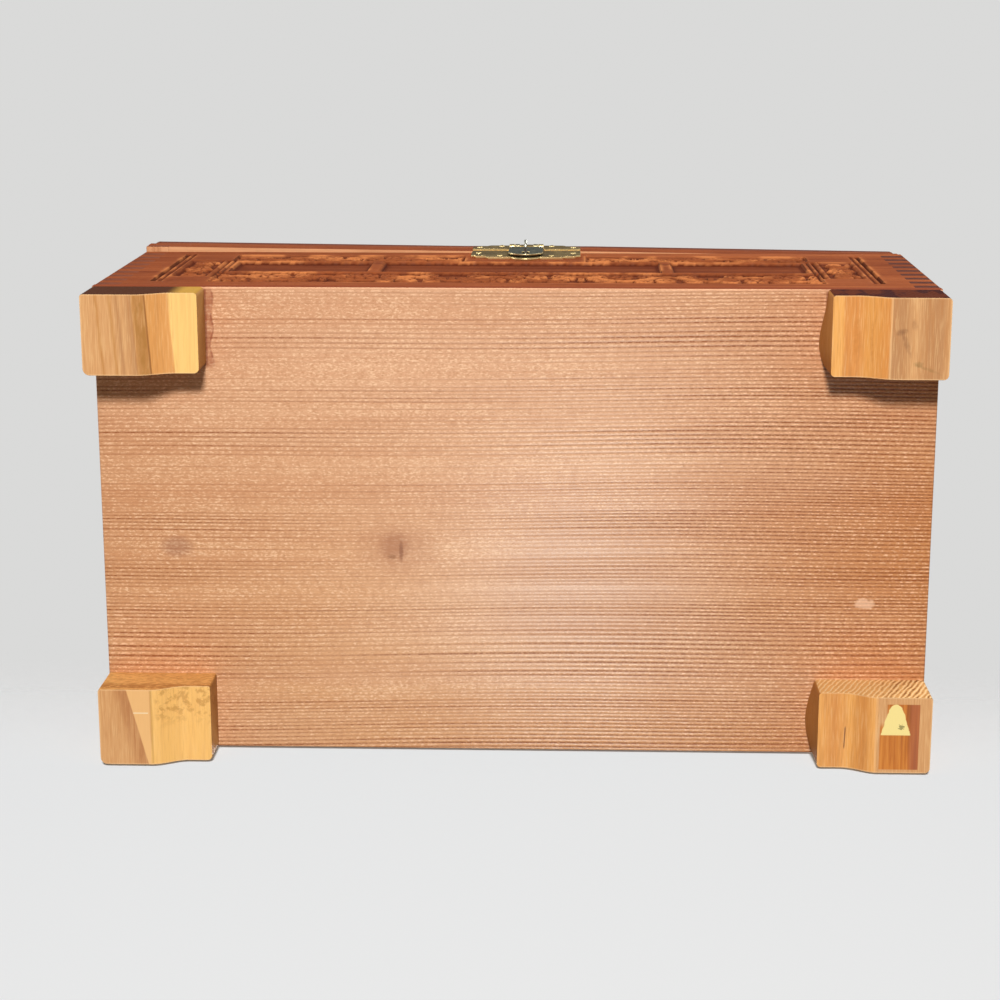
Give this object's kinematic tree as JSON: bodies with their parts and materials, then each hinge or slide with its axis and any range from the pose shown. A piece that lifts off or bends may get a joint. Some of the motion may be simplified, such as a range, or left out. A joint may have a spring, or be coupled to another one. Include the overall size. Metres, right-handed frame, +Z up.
{
  "type": "keepsake box",
  "caption": "Carved wooden keepsake box with finger-jointed corners, ogee bracket feet and a hinged lid closed by a brass hasp over a staple.",
  "frame": {"origin": "centre of the ground rectangle that the whole object covers, staple and hinge barrels included, at the level of the feet", "axes": "+Z up as the box stands on its feet, the latch side faces -Y, +X to the right seen from the latch side"},
  "size_m": [0.3, 0.18, 0.14],
  "materials": {
    "carved_wood": "reddish-brown varnish over carved aromatic softwood",
    "bottom_wood": "bare, ridged straight grain with a soft sheen",
    "foot_wood": "sawn and lightly oiled, strong grain",
    "brass": "aged stamped sheet, bright on its edges",
    "dark_brass": "plated, tarnished grey, bright on its edges"
  },
  "bodies": {
    "box": {"bottom_panel": "bottom_wood", "front_board": "carved_wood", "back_board": "carved_wood", "left_board": "carved_wood", "right_board": "carved_wood", "foot_front_left": "foot_wood", "foot_front_right": "foot_wood", "foot_back_left": "foot_wood", "foot_back_right": "foot_wood", "left_hinge_body_leaf": "brass", "left_hinge_pin": "brass", "right_hinge_body_leaf": "brass", "right_hinge_pin": "brass", "hinge_screws_body": "brass", "latch_body_plate": "brass", "staple": "dark_brass", "body_plate_nails": "brass"},
    "lid": {"lid_top_panel": "carved_wood", "lid_front_rail": "carved_wood", "lid_back_rail": "carved_wood", "lid_left_rail": "carved_wood", "lid_right_rail": "carved_wood", "left_hinge_lid_leaf": "brass", "right_hinge_lid_leaf": "brass", "hinge_screws_lid": "brass", "latch_lid_plate": "brass", "hasp_pin": "dark_brass", "lid_plate_nails": "brass"},
    "hasp": {"hasp": "dark_brass"}
  },
  "joints": [
    {"name": "lid_hinge", "type": "hinge", "parent": "box", "child": "lid", "pos_m": [0, 0.08822, 0.12015], "axis": [-1, 0, 0], "range_deg": [0, 105]},
    {"name": "hasp_hinge", "type": "hinge", "parent": "lid", "child": "hasp", "pos_m": [0.002, -0.08472, 0.123], "axis": [-1, 0, 0], "range_deg": [0, 170]}
  ]
}
